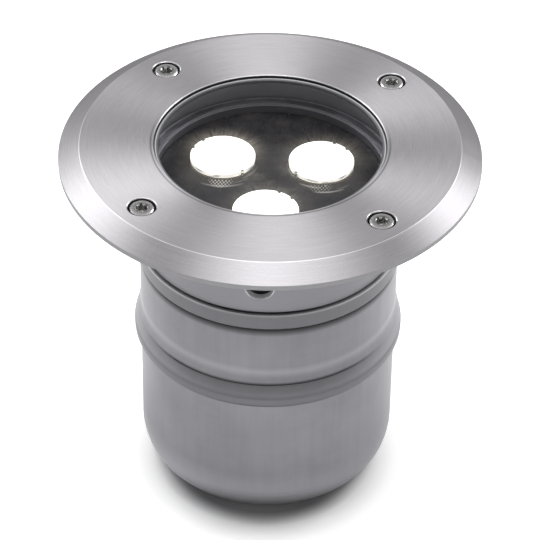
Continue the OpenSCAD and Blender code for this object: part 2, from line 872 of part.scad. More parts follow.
// Trim ring: flat face, bevel, upright edge, a lip over the glass and the screws' counterbores
module trim_ring() {
    color("#c9c7c6")
        difference() {
            rotate_extrude()
                polygon([[opening_r, lip_z], [opening_r, top_z-opening_edge],
                    [opening_r+opening_edge, top_z], [ring_r-bevel_w, top_z], [ring_r, ring_z+edge_h],
                    [ring_r, ring_z+ring_edge], [ring_r-ring_edge, ring_z],
                    [flange_r+ring_recess_gap, ring_z], [flange_r+ring_recess_gap, joint_z],
                    [pocket_r, joint_z], [pocket_r, lip_z]]);
            around(screw_circle_r, screw_angles()) {
                translate([0, 0, joint_z-overrun])
                    cylinder(r = screw_r+screw_hole_gap, h = ring_t+2*overrun);
                translate([0, 0, head_z])
                    cylinder(r = counterbore_d/2, h = counterbore_depth+overrun);
                translate([0, 0, top_z-counterbore_edge])
                    cylinder(r1 = counterbore_d/2, r2 = counterbore_d/2+counterbore_edge+overrun,
                        h = counterbore_edge+overrun);
            }
        }
}

// Seal round the top of the glass, whose inner lip shows in the opening
module glass_seal() {
    out_r = opening_r-seal_gap;
    in_r = out_r-seal_lip_w;
    color("#b9bbbf")
        rotate_extrude()
            polygon([[in_r, glass_top_z], [glass_r, glass_top_z], [glass_r, lip_z], [out_r, lip_z],
                [out_r, lip_z+seal_lip_h/2], [out_r-seal_lip_h/2, lip_z+seal_lip_h],
                [in_r, lip_z+seal_lip_h/2]]);
}

// Thick clear pane with ground edges
module glass() {
    color("#dfe8ea", 0.35)
        rotate_extrude()
            polygon([[0, glass_z], [glass_r-glass_edge, glass_z], [glass_r, glass_z+glass_edge],
                [glass_r, glass_top_z-glass_edge], [glass_r-glass_edge, glass_top_z], [0, glass_top_z]]);
}

// Screws with a star-shaped socket in a round head
module trim_screws() {
    head_r = screw_head_d/2;
    face_z = head_z+screw_head_h;
    color("#b5b3b1")
        around(screw_circle_r, screw_angles())
            difference() {
                rotate_extrude()
                    polygon([[0, head_z-screw_l], [screw_r-screw_tip, head_z-screw_l],
                        [screw_r, head_z-screw_l+screw_tip], [screw_r, head_z], [head_r, head_z],
                        [head_r, face_z-screw_head_edge], [head_r-screw_head_edge, face_z], [0, face_z]]);
                translate([0, 0, face_z-socket_depth])
                    cylinder(r = socket_r, h = socket_depth+overrun);
                translate([0, 0, face_z-socket_edge])
                    cylinder(r1 = socket_r, r2 = socket_r+socket_edge+overrun, h = socket_edge+overrun);
                for (i = [0:socket_lobes-1])
                    rotate([0, 0, 360*i/socket_lobes])
                        translate([socket_r, 0, face_z-socket_depth])
                            cylinder(r = socket_lobe_r, h = socket_depth+overrun);
            }
}

can_cup();
joint_bead();
can_sleeve();
neck_band();
can_neck();
can_flange();
flange_nuts();
cable_grommet();
lamp_housing();
cover_o_ring();
glass_gasket();
heat_sink();
thermal_pad();
emitter_board();
board_screws();
front_emitter();
right_emitter();
left_emitter();
front_lens_holder();
right_lens_holder();
left_lens_holder();
front_lens();
right_lens();
left_lens();
plate_standoffs();
optic_plate();
driver_bracket();
bracket_screws();
driver_case();
terminal_block();
positive_wire();
negative_wire();
gland_body();
gland_locknut();
gland_seal();
gland_nut();
trim_ring();
glass_seal();
glass();
trim_screws();
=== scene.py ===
import math

import bpy
from mathutils import Matrix, Vector


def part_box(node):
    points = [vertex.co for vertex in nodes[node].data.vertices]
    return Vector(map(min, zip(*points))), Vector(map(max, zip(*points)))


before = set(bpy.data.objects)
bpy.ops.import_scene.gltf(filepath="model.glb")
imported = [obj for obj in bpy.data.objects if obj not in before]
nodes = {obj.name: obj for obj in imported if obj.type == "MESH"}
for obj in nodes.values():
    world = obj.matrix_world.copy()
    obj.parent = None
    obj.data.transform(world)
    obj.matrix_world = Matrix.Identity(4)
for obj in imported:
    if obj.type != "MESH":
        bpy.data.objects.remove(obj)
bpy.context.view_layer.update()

MM = 0.001

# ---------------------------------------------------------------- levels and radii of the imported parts
ring_low, ring_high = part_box("trim_ring")
lens_low, lens_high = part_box("front_lens")
bead_low, bead_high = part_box("joint_bead")
screws_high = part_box("trim_screws")[1]

RING_TOP = ring_high.z
RING_R = ring_high.x
EDGE_TOP = ring_low.z + 1.75 * MM  # top of the trim ring's upright edge
BEVEL_R = RING_R - 6 * MM
OPENING_R = 33 * MM
GLASS_R = 36 * MM
GLASS_POCKET_R = GLASS_R + 0.3 * MM

COUNTERBORE_R = 4 * MM
SCREW_HEAD_R = 3.5 * MM
SOCKET_R = 1.6 * MM  # wall of the star-shaped socket between its lobes
LOBES_R = 2.1 * MM  # just outside the tips of the lobes
SCREW_XY = screws_high.x - SCREW_HEAD_R
SCREW_TOP = screws_high.z

LENS_ANGLES = (-90, 30, 150)
LENS_R = (lens_high.x - lens_low.x) / 2
LENS_RING_R = -(lens_low.y + lens_high.y) / 2
LENS_TOP = lens_high.z
COLLAR_TOP = LENS_TOP - 1.12 * MM  # top of the dark collar with painted reflection dots, low on each lens
PLATE_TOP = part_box("optic_plate")[1].z
GLASS_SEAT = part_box("glass_gasket")[0].z

DRAIN_HOLE_Z = 87.2 * MM
DRAIN_HOLE_R = 4 * MM
BAND_FOOT, BAND_TOP = (corner.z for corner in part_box("neck_band"))
SLEEVE_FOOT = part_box("can_sleeve")[0].z
FLARE_Z = 56.4 * MM  # where light catches the sleeve over its flare
BEAD_TOP = bead_high.z
BEAD_LAND = bead_low.z + 4.8 * MM


# ---------------------------------------------------------------- camera
PHOTO_WIDTH = 540  # pixels
FOCAL_LENGTH = 2794.6  # in pixels of the photograph
CAMERA_SHIFT = 1.44  # in pixels of the photograph
SENSOR_WIDTH = 36  # mm


def place_camera():
    """The photograph's own viewpoint: long lens, looking 39 degrees down."""
    turn, down, lean = math.radians(3.74), math.radians(38.98), math.radians(0.85)
    away, height = 635.7 * MM, 578.0 * MM
    side = Vector((math.cos(turn), math.sin(turn), 0))
    ahead = Vector((-math.sin(turn) * math.cos(down), math.cos(turn) * math.cos(down), -math.sin(down)))
    upward = side.cross(ahead)
    right = side * math.cos(lean) + upward * math.sin(lean)
    upright = upward * math.cos(lean) - side * math.sin(lean)
    data = bpy.data.cameras.new("camera")
    data.lens = FOCAL_LENGTH / PHOTO_WIDTH * SENSOR_WIDTH
    data.sensor_width = SENSOR_WIDTH
    data.shift_x = CAMERA_SHIFT / PHOTO_WIDTH
    data.clip_start, data.clip_end = 0.01, 20
    camera = bpy.data.objects.new("camera", data)
    bpy.context.scene.collection.objects.link(camera)
    place = Matrix((right, upright, -ahead)).transposed().to_4x4()
    place.translation = Vector((math.sin(turn) * away, -math.cos(turn) * away, height))
    camera.matrix_world = place
    bpy.context.scene.camera = camera


place_camera()
bpy.context.scene.view_settings.view_transform = "Standard"


# ---------------------------------------------------------------- shader maths
class Wire:
    """A value socket in a node tree. The operators add Math nodes."""

    def __init__(self, tree, socket):
        self.tree, self.socket = tree, socket

    def _math(self, operation, first, second=None, clamp=False):
        made = self.tree.nodes.new("ShaderNodeMath")
        made.operation = operation
        made.use_clamp = clamp
        for slot, value in zip(made.inputs, (first, second)):
            if isinstance(value, Wire):
                self.tree.links.new(value.socket, slot)
            elif value is not None:
                slot.default_value = value
        return Wire(self.tree, made.outputs[0])

    def __add__(self, other):
        return self._math("ADD", self, other)

    def __radd__(self, other):
        return self._math("ADD", other, self)

    def __sub__(self, other):
        return self._math("SUBTRACT", self, other)

    def __rsub__(self, other):
        return self._math("SUBTRACT", other, self)

    def __mul__(self, other):
        return self._math("MULTIPLY", self, other)

    def __rmul__(self, other):
        return self._math("MULTIPLY", other, self)

    def __truediv__(self, other):
        return self._math("DIVIDE", self, other)

    def __pow__(self, other):
        return self._math("POWER", self, other)

    def __gt__(self, other):
        return self._math("GREATER_THAN", self, other)

    def __lt__(self, other):
        return self._math("LESS_THAN", self, other)

    def least(self, other):
        return self._math("MINIMUM", self, other)

    def sine(self):
        return self._math("SINE", self)

    def size(self):
        return self._math("ABSOLUTE", self)

    def clamped(self):
        return self._math("ADD", self, 0.0, clamp=True)


def near(value, target, half_width):
    """1 at the target, falling to 0 at half the width on either side."""
    return (1 - (value - target).size() / half_width).clamped()


def far(x, y):
    """Distance from the origin of a plane."""
    return (x * x + y * y) ** 0.5


def wave(value, period):
    """Sine wave along a value."""
    return (value * 2 * math.pi / period).sine()


def off_screw(x, y):
    """Distance from the axis of the nearest trim screw."""
    return far(x.size() - SCREW_XY, y.size() - SCREW_XY)


def from_lens(x, y, angle):
    """Place measured from the axis of the lens at an angle on the lenses' circle."""
    turn = math.radians(angle)
    return x - LENS_RING_R * math.cos(turn), y - LENS_RING_R * math.sin(turn)


def off_lens(x, y):
    """Distance from the axis of the nearest lens."""
    nearest, *others = [far(*from_lens(x, y, angle)) for angle in LENS_ANGLES]
    for other in others:
        nearest = nearest.least(other)
    return nearest


def beside(x):
    """0 at the middle of the can's front and back, 1 on its sides."""
    return ((x.size() - 8 * MM) / (22 * MM)).clamped()


class Finish:
    """A procedural material, made node by node in object coordinates, which are the shared frame in metres."""

    SOCKETS = {"colour": "Base Color", "roughness": "Roughness", "metallic": "Metallic", "normal": "Normal",
               "alpha": "Alpha", "glow": "Emission Color", "glow_strength": "Emission Strength",
               "specular": "Specular IOR Level", "tint": "Specular Tint",
               "turned": "Anisotropic", "turned_way": "Anisotropic Rotation"}

    def __init__(self, name):
        self.material = bpy.data.materials.new(name)
        self.material.use_nodes = True
        self.tree = self.material.node_tree

    def node(self, kind, settings=None, inputs=None, out=0):
        """A node with its settings, then its sockets, and the wire from one of its outputs."""
        made = self.tree.nodes.new(kind)
        for name, value in (settings or {}).items():
            setattr(made, name, value)
        self.fill(made, inputs or {})
        return Wire(self.tree, made.outputs[out])

    def fill(self, made, inputs):
        """Links or sets sockets. A colour of three values is made opaque."""
        for name, value in inputs.items():
            slot = made.inputs[name]
            if isinstance(value, Wire):
                self.tree.links.new(value.socket, slot)
            elif slot.type == "RGBA":
                slot.default_value = (*value, 1)
            else:
                slot.default_value = value

    def surface(self, **values):
        self.fill(self.tree.nodes["Principled BSDF"], {self.SOCKETS[name]: value for name, value in values.items()})

    def place(self):
        return self.node("ShaderNodeTexCoord", out="Object")

    def axes(self):
        """The three parts of the place."""
        split = self.tree.nodes.new("ShaderNodeSeparateXYZ")
        self.fill(split, {"Vector": self.place()})
        return [Wire(self.tree, part) for part in split.outputs]

    def vector(self, *parts):
        """A vector put together from three values."""
        return self.node("ShaderNodeCombineXYZ", inputs=dict(zip("XYZ", parts)))

    def noise(self, scale, detail=2.0, vector=None, roughness=0.5):
        return self.node("ShaderNodeTexNoise", inputs={"Vector": vector or self.place(), "Scale": scale,
                                                       "Detail": detail, "Roughness": roughness})

    def stretched_noise(self, scale, detail, roughness):
        """Noise with its own scale along each axis."""
        grid = self.node("ShaderNodeMapping", inputs={"Vector": self.place(), "Scale": scale})
        return self.noise(1.0, detail, grid, roughness)

    def blend(self, factor, low, high):
        """Mix of two colours by a value. The Mix node's sockets share names, so they go by number."""
        factor_slot, low_slot, high_slot, colour_out = 0, 6, 7, 2
        return self.node("ShaderNodeMix", {"data_type": "RGBA"},
                         {factor_slot: factor, low_slot: low, high_slot: high}, colour_out)

    def bump(self, height, strength, distance):
        return self.node("ShaderNodeBump", inputs={"Height": height, "Strength": strength, "Distance": distance})


# ---------------------------------------------------------------- steel
TURNED_WAY = 0.25  # a quarter turn lays the gloss across lines that run round the axis
# colour of the painted shadows and painted shade lines on the can
PAINTED_SHADE = (0.022, 0.022, 0.023)


def turned_ring():
    """Turned trim ring: fine lines round the axis; painted highlights along its edges and behind the screws; painted
    shade on its upright side, in the opening and counterbores, before the screws, round the front of the opening and
    over the back of the bevel.
    """
    f = Finish("turned_trim_steel")
    x, y, z = f.axes()
    radius = far(x, y)
    lines = f.noise(1.0, 3.0, f.vector(x / radius * 5, y / radius * 5, radius * 2600), 0.65)
    grit = f.noise(2400.0, 2.0)
    cloud = f.noise(24.0, 2.0)
    steel = f.blend((lines * 0.9 + grit * 0.5 + cloud * 0.5 - 0.45).clamped(),
                    (0.315, 0.305, 0.32), (0.475, 0.46, 0.48))

    # painted shade: the upright side is a darker copy of the same steel
    upright = ((EDGE_TOP + 0.05 * MM - z) / (0.1 * MM)).clamped()
    steel = f.blend(upright, steel, f.blend(lines, (0.26, 0.257, 0.268), (0.36, 0.356, 0.368)))

    # painted shade: dark walls in the opening and in the counterbores
    in_opening = (radius < OPENING_R + 0.05 * MM) * (z < RING_TOP - 0.2 * MM)
    in_counterbore = (off_screw(x, y) < COUNTERBORE_R + 0.05 * MM) * (z < RING_TOP - 0.22 * MM)
    steel = f.blend((in_opening + in_counterbore).clamped(), steel, (0.045, 0.045, 0.05))

    in_front = ((12 * MM - y) / (14 * MM)).clamped()
    # painted shade: a dark line round the front of the opening
    front_shade_line = near(radius, OPENING_R + 0.85 * MM, 0.42 * MM) * in_front * 0.8
    steel = f.blend(front_shade_line, steel, (0.09, 0.09, 0.095))
    # painted shade over the back of the bevel
    back_bevel_shade = ((radius - BEVEL_R) / (0.3 * MM)).clamped() * ((y - 5 * MM) / (30 * MM)).clamped()
    steel = f.blend(back_bevel_shade * 0.55, steel, (0.13, 0.128, 0.135))

    on_top = z > RING_TOP - 0.35 * MM
    # painted shade before each screw and a painted highlight behind it, in a ring round the counterbore
    screw_rim_light_and_shade = near(off_screw(x, y), COUNTERBORE_R + 0.14 * MM, 0.2 * MM) * on_top
    behind_screw = ((y.size() - SCREW_XY) * ((y > 0) * 2 - 1) > 0)
    steel = f.blend(screw_rim_light_and_shade * (1 - behind_screw) * 0.8, steel, (0.07, 0.07, 0.07))
    # painted highlights along the bevel's edge, stronger in front, and along the opening's edge behind
    edge_highlights = (near(radius, BEVEL_R, 0.16 * MM) * (0.15 + 0.7 * in_front)
             + near(radius, OPENING_R + 0.1 * MM, 0.2 * MM) * (1 - in_front) * 0.8)
    steel = f.blend((edge_highlights + screw_rim_light_and_shade * behind_screw).clamped() * on_top, steel, (0.88, 0.87, 0.88))

    f.surface(colour=steel, metallic=1.0, roughness=0.38 + 0.12 * lines + 0.05 * cloud, turned=0.85,
              turned_way=TURNED_WAY, tint=(0.45, 0.45, 0.45), normal=f.bump(lines * 0.8 + grit * 0.2, 0.22, 0.00003))
    return f.material


def can_lines(f):
    """Fine lines round the can."""
    return f.stretched_noise((28, 28, 3600), 4.0, 0.65)


def can_steel(name, dark, light, rough=0.34, painted_shadow=None, painted_highlight=None, shaded_sleeve_foot=False, shaded_bead_land=False,
              lit_cup_foot=False):
    """Satin steel with fine lines round the axis and faint streaks down it.

    painted_shadow: a painted shadow below an edge: that edge, its depth, and how fast it fades
    painted_highlight: a painted light line: level, half width, strength, and whether it is stronger and duller on the
    can's sides
    """
    f = Finish(name)
    x, y, z = f.axes()
    lines = can_lines(f)
    cloud = f.noise(34.0, 4.0, roughness=0.6)
    streak = f.stretched_noise((520, 520, 26), 3.0, 0.6)
    steel = f.blend((lines * 0.5 + cloud * 1.5 + streak * 0.45 - 0.72).clamped(), dark, light)
    metallic = 1.0
    # painted shadow below an edge, such as under the neck band and at the bead's top
    if painted_shadow:
        edge, depth, power = painted_shadow
        outside_shadow = ((edge - z) / depth).clamped() ** power
        steel = f.blend((1 - outside_shadow) * 0.88, steel, PAINTED_SHADE)
    # painted highlight: a light line round the can at one level, stronger and less metallic on the sides when asked
    if painted_highlight:
        level, half_width, strength, at_sides = painted_highlight
        if at_sides:
            strength = strength + beside(x) * 0.6
            metallic = 1 - near(z, level + 0.2 * MM, 1.0 * MM) * beside(x) * 0.8
        steel = f.blend(near(z, level, half_width) * strength, steel, (0.42, 0.416, 0.43))
    # painted shade: a dark line along the sleeve's lowest millimetre, over the bead, fading at the can's sides
    if shaded_sleeve_foot:
        off_sides = (1 - (x.size() - 24 * MM) / (11 * MM)).clamped()
        steel = f.blend(((SLEEVE_FOOT + 0.95 * MM - z) / (0.7 * MM)).clamped() * off_sides * 0.95, steel, PAINTED_SHADE)
    # painted light: the cup paler towards its foot, less so on its right side
    if lit_cup_foot:
        foot = ((17 * MM - z) / (13 * MM)).clamped() ** 1.4
        steel = f.blend(foot * (1 - (x / (34 * MM)).clamped() * 0.6), steel, (0.44, 0.435, 0.46))
    # painted shade: the bead darker from its land down
    if shaded_bead_land:
        steel = f.blend(((BEAD_LAND - z) / (1.0 * MM)).clamped() * 0.7, steel, (0.10, 0.098, 0.108))
    f.surface(colour=steel, metallic=metallic, roughness=rough + 0.10 * lines + 0.06 * cloud, turned=0.6,
              turned_way=TURNED_WAY, normal=f.bump(lines, 0.18, 0.00004))
    return f.material


def neck_steel():
    """The neck's satin steel, with painted highlights, pale and less metallic, round the drain holes and over the
    band at the can's sides.
    """
    f = Finish("satin_neck_steel")
    x, y, z = f.axes()
    lines = can_lines(f)
    cloud = f.noise(26.0, 3.0)
    steel = f.blend((lines * 0.7 + cloud * 0.6 - 0.15).clamped(), (0.180, 0.177, 0.191), (0.222, 0.219, 0.235))
    high = z - DRAIN_HOLE_Z
    off_hole = far(x, high) * (y.size() > 25 * MM) + far(y, high) * (x.size() > 25 * MM)
    # painted highlights: pale, less metallic rims round the drain holes and a line over the band at the can's sides
    hole_rim_highlight = ((DRAIN_HOLE_R + 0.30 * MM - off_hole) / (0.08 * MM)).clamped() * (off_hole > 0.5 * MM)
    over_band_highlight = beside(x) * near(z, BAND_TOP + 0.1 * MM, 0.6 * MM)
    steel = f.blend((hole_rim_highlight + over_band_highlight * 0.5).clamped(), steel, (0.72, 0.72, 0.73))
    f.surface(colour=steel, metallic=1 - (hole_rim_highlight + over_band_highlight).clamped() * 0.8,
              roughness=0.34 + 0.10 * lines + 0.1 * hole_rim_highlight, turned=0.6, turned_way=TURNED_WAY,
              normal=f.bump(lines, 0.18, 0.00004))
    return f.material


def screw_steel():
    """Screw heads: fine turned face; painted highlights on the chamfer and the socket's edge; painted shade in a ring
    round the socket and on the head's side; in the socket, painted shade with painted glints and a painted highlight
    at its bottom.
    """
    f = Finish("screw_steel")
    x, y, z = f.axes()
    off = off_screw(x, y)
    lines = f.noise(1.0, 2.0, f.vector(off * 5200, z * 900, 0.0), 0.6)
    grit = f.noise(1800.0, 2.0)
    steel = f.blend(lines * 0.6 + grit * 0.4, (0.30, 0.297, 0.30), (0.46, 0.455, 0.46))
    # painted highlight on the chamfer
    chamfer = near(off, SCREW_HEAD_R - 0.3 * MM, 0.35 * MM)
    steel = f.blend(chamfer, steel, (0.92, 0.91, 0.91))
    # painted shade in a ring round the socket, and a painted highlight on the socket's edge
    socket_ring_shade = near(off, LOBES_R, 0.35 * MM) * (z > SCREW_TOP - 0.4 * MM)
    steel = f.blend(socket_ring_shade * 0.6, steel, (0.13, 0.13, 0.13))
    socket_edge_highlight = near(off, SOCKET_R, 0.2 * MM) * (z > SCREW_TOP - 0.5 * MM)
    steel = f.blend(socket_edge_highlight, steel, (0.92, 0.91, 0.9))
    # painted shade with painted glints in the socket, and a painted highlight at its bottom
    recess = ((SCREW_TOP - 0.5 * MM - z) / (0.3 * MM)).clamped() * (off < LOBES_R)
    steel = f.blend(recess, steel, f.blend((grit * 1.8 - 0.4).clamped(), (0.03, 0.03, 0.03), (0.70, 0.70, 0.68)))
    steel = f.blend(recess * near(off, 0.2 * MM, 0.7 * MM), steel, (1.0, 1.0, 0.98))
    # painted shade on the head's side
    flank_shade = (off > SCREW_HEAD_R - 0.08 * MM) * (z < SCREW_TOP - 0.35 * MM)
    steel = f.blend(flank_shade, steel, (0.05, 0.05, 0.052))
    f.surface(colour=steel, metallic=1.0, roughness=0.20 + 0.12 * grit,
              normal=f.bump(lines + recess * grit * 3.0, 0.25, 0.00006))
    return f.material


# ---------------------------------------------------------------- other metals, mouldings and rubber
def plain_metal(name, dark, light, rough):
    """Metal with a fine grain."""
    f = Finish(name)
    grain = f.noise(900.0, 3.0)
    f.surface(colour=f.blend(grain, dark, light), metallic=1.0, roughness=rough + 0.12 * grain,
              normal=f.bump(grain, 0.15, 0.00005))
    return f.material


def housing_metal():
    """Black anodised pot, painted lighter grey in the seat of the glass to lift the shade there, with a painted
    highlight line over the seat and painted shade below it.
    """
    f = Finish("housing_metal")
    x, y, z = f.axes()
    grain = f.noise(1300.0, 3.0)
    lines = f.stretched_noise((25, 25, 2600), 3.0, 0.6)
    black = f.blend(grain, (0.035, 0.036, 0.042), (0.07, 0.071, 0.08))
    # painted light: grey with lines in the seat of the glass lifts its shade; a painted highlight line over the seat;
    # painted shade below the seat
    painted_seat = f.blend(lines * 0.7 + grain * 0.3, (0.26, 0.26, 0.285), (0.36, 0.36, 0.395))
    painted_seat = f.blend(near(z, GLASS_SEAT + 0.4 * MM, 0.7 * MM), painted_seat, (0.52, 0.52, 0.56))
    painted_seat = f.blend(z < GLASS_SEAT - 0.05 * MM, painted_seat, (0.15, 0.15, 0.17))
    in_seat = (far(x, y) < GLASS_POCKET_R + 0.3 * MM) * (z > PLATE_TOP - 0.2 * MM)
    f.surface(colour=f.blend(in_seat, black, painted_seat), metallic=0.5, roughness=0.40 + 0.12 * grain,
              normal=f.bump(grain, 0.15, 0.00005))
    return f.material


def moulded(name, dark, light, rough, scale=1500.0, strength=0.2):
    """Plastic, rubber or coating with a fine grain and faint patches."""
    f = Finish(name)
    grain = f.noise(scale, 2.0)
    patch = f.noise(60.0, 2.0)
    f.surface(colour=f.blend(grain * 0.5 + patch * 0.5, dark, light), roughness=rough + 0.1 * grain,
              normal=f.bump(grain, strength, 0.00006))
    return f.material


def ringed(name, dark, light, line, line_r, half_width, rough):
    """A moulded ring with one painted highlight line round it."""
    f = Finish(name)
    x, y, z = f.axes()
    grain = f.noise(1500.0, 2.0)
    # painted highlight line round the ring
    colour = f.blend(near(far(x, y), line_r, half_width), f.blend(grain, dark, light), line)
    f.surface(colour=colour, roughness=rough + 0.1 * grain, normal=f.bump(grain, 0.15, 0.00005))
    return f.material


# ---------------------------------------------------------------- optics
def lens_glow():
    """Lit lens: white top and bevel, a warm mottled side with dull dashes, painted shade in the notch of its rim, and
    a dark collar at its foot with painted reflection dots.
    """
    f = Finish("glowing_lens")
    x, y, z = f.axes()
    on_top = ((z - (LENS_TOP - 0.12 * MM)) / (0.1 * MM)).clamped()
    speckle = f.noise(520.0, 3.0, roughness=0.7)
    dash = f.stretched_noise((300, 300, 1400), 1.0, 0.5)
    side = f.blend((speckle * 2.2 - 0.6).clamped(), (0.50, 0.46, 0.40), (0.95, 0.92, 0.85))
    side = f.blend(((dash - 0.53) * 12).clamped(), side, (0.20, 0.19, 0.175))
    # painted shade in the notch of the rim
    notch = (off_lens(x, y) < LENS_R - 0.06 * MM) * (z > LENS_TOP - 0.7 * MM)
    side = f.blend(notch, side, (0.05, 0.045, 0.04))
    in_collar = ((COLLAR_TOP - z) / (0.12 * MM)).clamped()
    # painted reflection dots on the dark collar
    dots = (wave(x, 0.74 * MM) * wave(z, 0.7 * MM) > 0.1) * (y.size() < 20 * MM)
    side = f.blend(in_collar, side, f.blend(dots, (0.045, 0.042, 0.040), (0.24, 0.23, 0.20)))
    f.surface(colour=f.blend(in_collar, (0.6, 0.6, 0.58), (0.03, 0.03, 0.03)), roughness=0.35,
              glow=f.blend(on_top, side, (1.0, 1.0, 0.985)), glow_strength=1.1)
    return f.material


# Each lens's painted light on the plate: its angle, the strength of the rays behind it and of the dots before it,
# and the arcs before it, each with its distance past the rim in mm, half width in mm, sideways place, reach, strength
LENS_LIGHT = (
    (-90, 0.45, 0.0, ()),
    (30, 0.50, 0.45, (
        (0.30, 0.40, -0.88, 0.16, 0.9),
        (1.50, 0.40, -0.24, 0.30, 1.0),
        (3.60, 0.45, 0.22, 0.34, 1.0),
        (2.80, 0.30, 0.56, 0.16, 0.4),
        (0.5, 0.5, 0.18, 0.05, 0.9))),
    (150, 1.0, 1.0, (
        (3.30, 0.55, 0.06, 0.50, 0.9),
        (1.10, 0.35, 0.78, 0.20, 0.45),
        (2.10, 0.35, 0.50, 0.22, 0.35))),
)


def dark_plate():
    """Glossy dark plate with the lenses' light painted on it as glow: rays behind each, a haze round each and in the
    middle, and dots and arcs before it.
    """
    f = Finish("dark_optic_plate")
    x, y, z = f.axes()
    haze = f.stretched_noise((420, 90, 200), 3.0, 0.6)
    brown = f.noise(150.0, 3.0, roughness=0.6)
    warm, gleam = 0.0, 0.0
    # painted reflections of each lens's light, as glow on the plate
    for angle, rays, dots, arcs in LENS_LIGHT:
        dx, dy = from_lens(x, y, angle)
        off = far(dx, dy)
        u, v = dx / off, dy / off
        past = off - LENS_R
        shown = past - v.clamped() * 1.9 * MM  # past the part of the plate that the lens hides
        ray = f.noise(1.0, 3.0, f.vector(u * 12, v * 12, off * 120), 0.7)
        fade = (1 - shown / (7.8 * MM)).clamped() ** 3
        behind = ((v + 0.15) / 1.05).clamped() ** 1.5
        warm = warm + rays * fade * behind * (ray * 2.3 - 0.50).clamped()
        warm = warm + 0.13 * (1 - past / (9 * MM)).clamped() ** 2
        before = v < 0
        if dots:
            mesh = ((wave(dx, 1.0 * MM) * wave(dy, 1.6 * MM) - 0.05) * 3).clamped()
            sideways = ((dx - 0.3 * MM) / (3.3 * MM)).size() ** 2
            outward = ((past - 1.3 * MM) / (2.6 * MM)).size() ** 2
            gleam = gleam + dots * 1.1 * mesh * (1.3 - sideways - outward).clamped() * before
        for distance, half_width, place, reach, strength in arcs:
            arc = near(past, distance * MM, half_width * MM) * near(u, place, reach) ** 0.6
            gleam = gleam + strength * arc * before * (0.35 + 0.9 * haze)
    middle = (1 - (x * x + (y + 3 * MM) * (y + 3 * MM)) / (15 * MM) ** 2).clamped() + 0.35
    warm = warm + middle * ((brown - 0.42) * 1.1).clamped() * 0.55
    glow = f.blend((warm * 0.85).clamped(), (0.003, 0.003, 0.004), (0.38, 0.345, 0.285))
    glow = f.blend((gleam * 0.9).clamped(), glow, (0.50, 0.48, 0.44))
    f.surface(colour=f.blend(haze, (0.012, 0.012, 0.014), (0.022, 0.021, 0.023)), specular=0.32,
              roughness=0.18 + 0.12 * haze, glow=glow, glow_strength=1.0, normal=f.bump(haze, 0.10, 0.00003))
    return f.material


def clear_glass():
    """Clear pane: it lets light straight through, and mirrors the room more and more towards a grazing view."""
    f = Finish("clear_glass")
    mirror = f.node("ShaderNodeLayerWeight", inputs={"Blend": 0.13}, out="Fresnel")
    inner_face = f.node("ShaderNodeNewGeometry", out="Backfacing")
    haze = f.noise(40.0, 2.0)
    f.surface(colour=(0.93, 0.96, 0.97), metallic=1.0, roughness=0.02 + 0.02 * haze,
              alpha=((mirror - 0.016) * 1.8).clamped() * (1 - inner_face))
    return f.material


# ---------------------------------------------------------------- which part wears which finish
def dress(material, *names):
    """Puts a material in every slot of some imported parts."""
    for name in names:
        slots = nodes[name].material_slots
        if not slots:
            nodes[name].data.materials.append(material)
        for slot in slots:
            slot.material = material


SATIN = ((0.178, 0.175, 0.190), (0.262, 0.259, 0.277))

dress(turned_ring(), "trim_ring")
dress(can_steel("satin_can_steel", *SATIN), "can_flange")
dress(can_steel("satin_sleeve_steel", (0.160, 0.157, 0.171), (0.240, 0.237, 0.254),
                painted_shadow=(BAND_FOOT, 2.7 * MM, 1.7), painted_highlight=(FLARE_Z, 1.9 * MM, 0.26, False), shaded_sleeve_foot=True),
      "can_sleeve")
dress(can_steel("satin_cup_steel", *SATIN, lit_cup_foot=True), "can_cup")
dress(neck_steel(), "can_neck")
# the band's darker copy of the satin steel is painted shade
dress(can_steel("satin_band_steel", (0.129, 0.127, 0.136), (0.162, 0.160, 0.170),
                painted_highlight=(BAND_TOP - 0.5 * MM, 0.7 * MM, 0.25, True)), "neck_band")
dress(can_steel("satin_bead_steel", (0.225, 0.222, 0.238), (0.275, 0.272, 0.29), 0.32,
                painted_shadow=(BEAD_TOP, 1.1 * MM, 3), shaded_bead_land=True), "joint_bead")
dress(screw_steel(), "trim_screws")
dress(plain_metal("nickel_plate", (0.40, 0.39, 0.375), (0.53, 0.52, 0.50), 0.24),
      "flange_nuts", "board_screws", "bracket_screws", "gland_body", "gland_locknut", "gland_nut")
dress(plain_metal("raw_aluminium", (0.55, 0.56, 0.58), (0.70, 0.71, 0.73), 0.30),
      "heat_sink", "plate_standoffs", "driver_bracket")
dress(housing_metal(), "lamp_housing")
dress(moulded("white_board", (0.74, 0.74, 0.71), (0.86, 0.86, 0.83), 0.42, 900.0, 0.1), "emitter_board")
dress(moulded("black_rubber", (0.018, 0.018, 0.02), (0.04, 0.04, 0.043), 0.62),
      "cable_grommet", "cover_o_ring", "gland_seal")
# painted highlight lines on the seal's top and on the gasket
dress(ringed("clear_grey_seal", (0.045, 0.045, 0.05), (0.075, 0.075, 0.085), (0.42, 0.42, 0.43),
             OPENING_R - 0.45 * MM, 0.4 * MM, 0.35), "glass_seal")
dress(ringed("grey_gasket", (0.20, 0.20, 0.225), (0.27, 0.27, 0.30), (0.62, 0.62, 0.66),
             GLASS_R - 0.5 * MM, 0.5 * MM, 0.5), "glass_gasket")
dress(moulded("black_moulding", (0.02, 0.02, 0.022), (0.05, 0.05, 0.053), 0.45),
      "front_lens_holder", "right_lens_holder", "left_lens_holder")
dress(moulded("driver_case", (0.66, 0.64, 0.57), (0.78, 0.76, 0.70), 0.5), "driver_case")
dress(moulded("terminal_block", (0.56, 0.54, 0.47), (0.68, 0.66, 0.6), 0.45), "terminal_block")
dress(moulded("red_wire", (0.42, 0.03, 0.02), (0.55, 0.06, 0.05), 0.4), "positive_wire")
